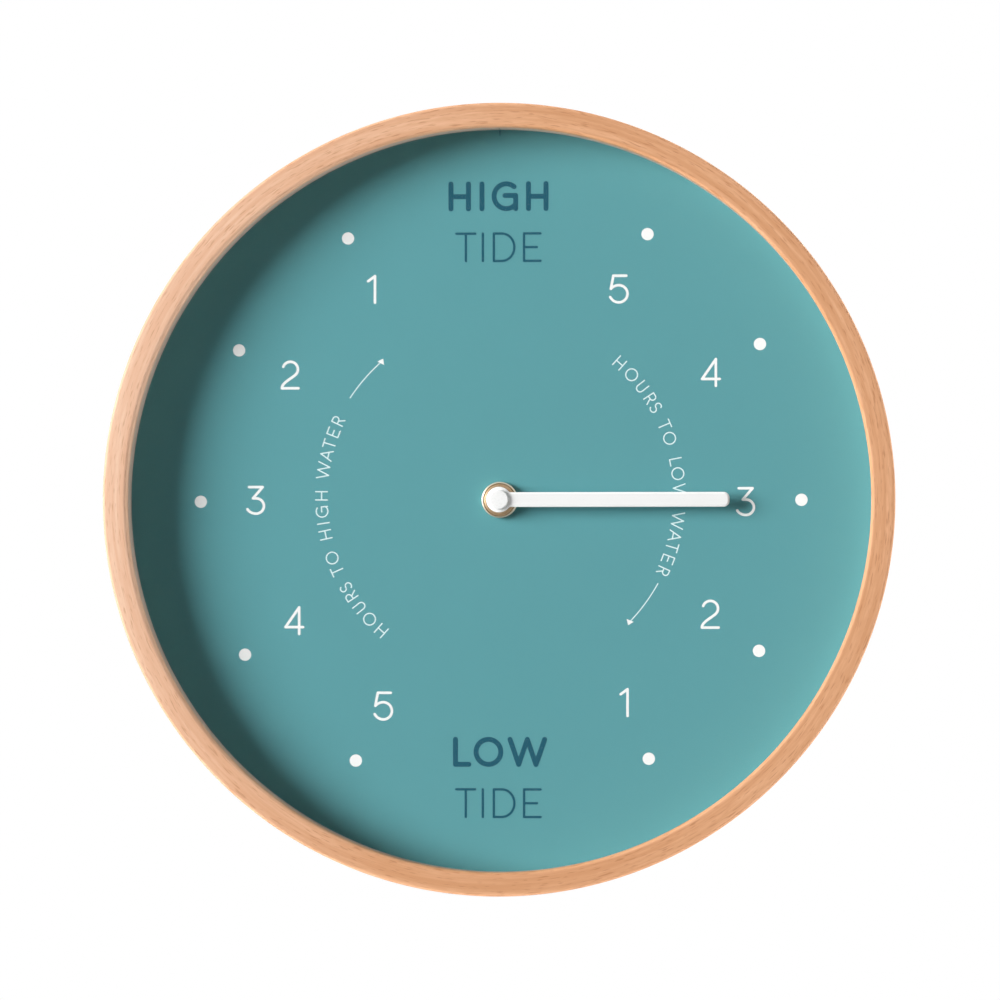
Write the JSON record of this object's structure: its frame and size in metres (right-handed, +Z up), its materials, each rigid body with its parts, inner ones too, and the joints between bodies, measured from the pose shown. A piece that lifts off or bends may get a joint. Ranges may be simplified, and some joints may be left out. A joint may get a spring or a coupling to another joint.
{
  "type": "tide clock",
  "caption": "Round wall clock that shows the tide: a wooden rim, a glass, a plain dial with a tide scale, and one hand on a quartz movement.",
  "frame": {"origin": "on the hand's axis, at the centre of the clock's bounding box", "axes": "+Y along the hand's axis, from the glass towards the wall; +Z up; +X to the right as seen from the front"},
  "size_m": [0.3, 0.045, 0.3],
  "materials": {
    "beech": "matt oiled beech, end edges rounded",
    "glass": "clear flat glass",
    "spacer_card": "matt off-white",
    "dial_paint": "matt blue-green paint",
    "fibreboard": "brown hardboard",
    "zinc_steel": "zinc plated",
    "screw_steel": "zinc plated",
    "pine": "sawn pine",
    "black_plastic": "fine spark texture",
    "knob_plastic": "satin",
    "brass": "satin",
    "rubber": "matt",
    "hand_paint": "satin white",
    "cap_plastic": "satin white",
    "acetal": "natural white",
    "gear_metal": "bright",
    "magnet": "ground",
    "soft_iron": "plain",
    "copper_wire": "enamelled wire",
    "board_green": "green laminate",
    "can_metal": "bright",
    "contact_metal": "nickel plated",
    "cell_sleeve": "plain printed sleeve"
  },
  "bodies": {
    "clock_case": {"wood_rim": "beech", "glass_lens": "glass", "spacer_ring": "spacer_card", "dial_plate": "dial_paint", "backing_board": "fibreboard", "retaining_brackets": "zinc_steel", "bracket_screws": "screw_steel", "hanging_block": "pine", "hanger_plate": "zinc_steel", "hanger_screws": "screw_steel", "movement_front_housing": "black_plastic", "movement_rear_cover": "black_plastic", "mounting_bush": "brass", "rubber_washer": "rubber", "brass_washer": "brass", "brass_nut": "brass", "stator": "soft_iron", "coil_core": "soft_iron", "coil_bobbin": "acetal", "coil_winding": "copper_wire", "circuit_board": "board_green", "quartz_can": "can_metal", "clock_chip": "black_plastic", "plus_contact": "contact_metal", "minus_contact": "contact_metal"},
    "hand": {"hour_wheel": "acetal", "tide_hand": "hand_paint", "hand_cap": "cap_plastic"},
    "centre": {"cannon_pinion": "gear_metal", "centre_wheel": "gear_metal"},
    "minute": {"minute_wheel": "acetal"},
    "third": {"third_wheel": "acetal"},
    "second": {"second_wheel": "acetal"},
    "intermediate": {"intermediate_wheel": "acetal"},
    "rotor": {"rotor_pinion": "acetal", "rotor_magnet": "magnet"},
    "knob": {"setting_knob": "knob_plastic"},
    "cell": {"battery": "cell_sleeve"}
  },
  "joints": [
    {"name": "hand_turn", "type": "hinge", "parent": "clock_case", "child": "hand", "pos_m": [0, 0, 0], "axis": [0, 1, 0], "continuous": true},
    {"name": "minute_turn", "type": "hinge", "parent": "clock_case", "child": "minute", "pos_m": [-0.0096, 0, 0], "axis": [0, 1, 0], "continuous": true},
    {"name": "centre_turn", "type": "hinge", "parent": "clock_case", "child": "centre", "pos_m": [0, 0, 0], "axis": [0, 1, 0], "continuous": true},
    {"name": "third_turn", "type": "hinge", "parent": "clock_case", "child": "third", "pos_m": [0.00846, 0, 0.00308], "axis": [0, 1, 0], "continuous": true},
    {"name": "second_turn", "type": "hinge", "parent": "clock_case", "child": "second", "pos_m": [0.00993, 0, 0.01145], "axis": [0, 1, 0], "continuous": true},
    {"name": "intermediate_turn", "type": "hinge", "parent": "clock_case", "child": "intermediate", "pos_m": [0.00236, 0, 0.01582], "axis": [0, 1, 0], "continuous": true},
    {"name": "rotor_turn", "type": "hinge", "parent": "clock_case", "child": "rotor", "pos_m": [-0.00328, 0, 0.01377], "axis": [0, 1, 0], "continuous": true},
    {"name": "knob_turn", "type": "hinge", "parent": "clock_case", "child": "knob", "pos_m": [-0.01887, 0, 0.00248], "axis": [0, 1, 0], "continuous": true},
    {"name": "battery_out", "type": "slide", "parent": "clock_case", "child": "cell", "axis": [0, 1, 0], "range_m": [0, 0.02]}
  ],
  "couplings": [
    {"joint": "minute_turn", "follows": "hand_turn", "ratio": -4},
    {"joint": "centre_turn", "follows": "hand_turn", "ratio": 12},
    {"joint": "third_turn", "follows": "hand_turn", "ratio": -96},
    {"joint": "second_turn", "follows": "hand_turn", "ratio": 720},
    {"joint": "intermediate_turn", "follows": "hand_turn", "ratio": -4320},
    {"joint": "rotor_turn", "follows": "hand_turn", "ratio": 21600},
    {"joint": "knob_turn", "follows": "hand_turn", "ratio": 12}
  ]
}
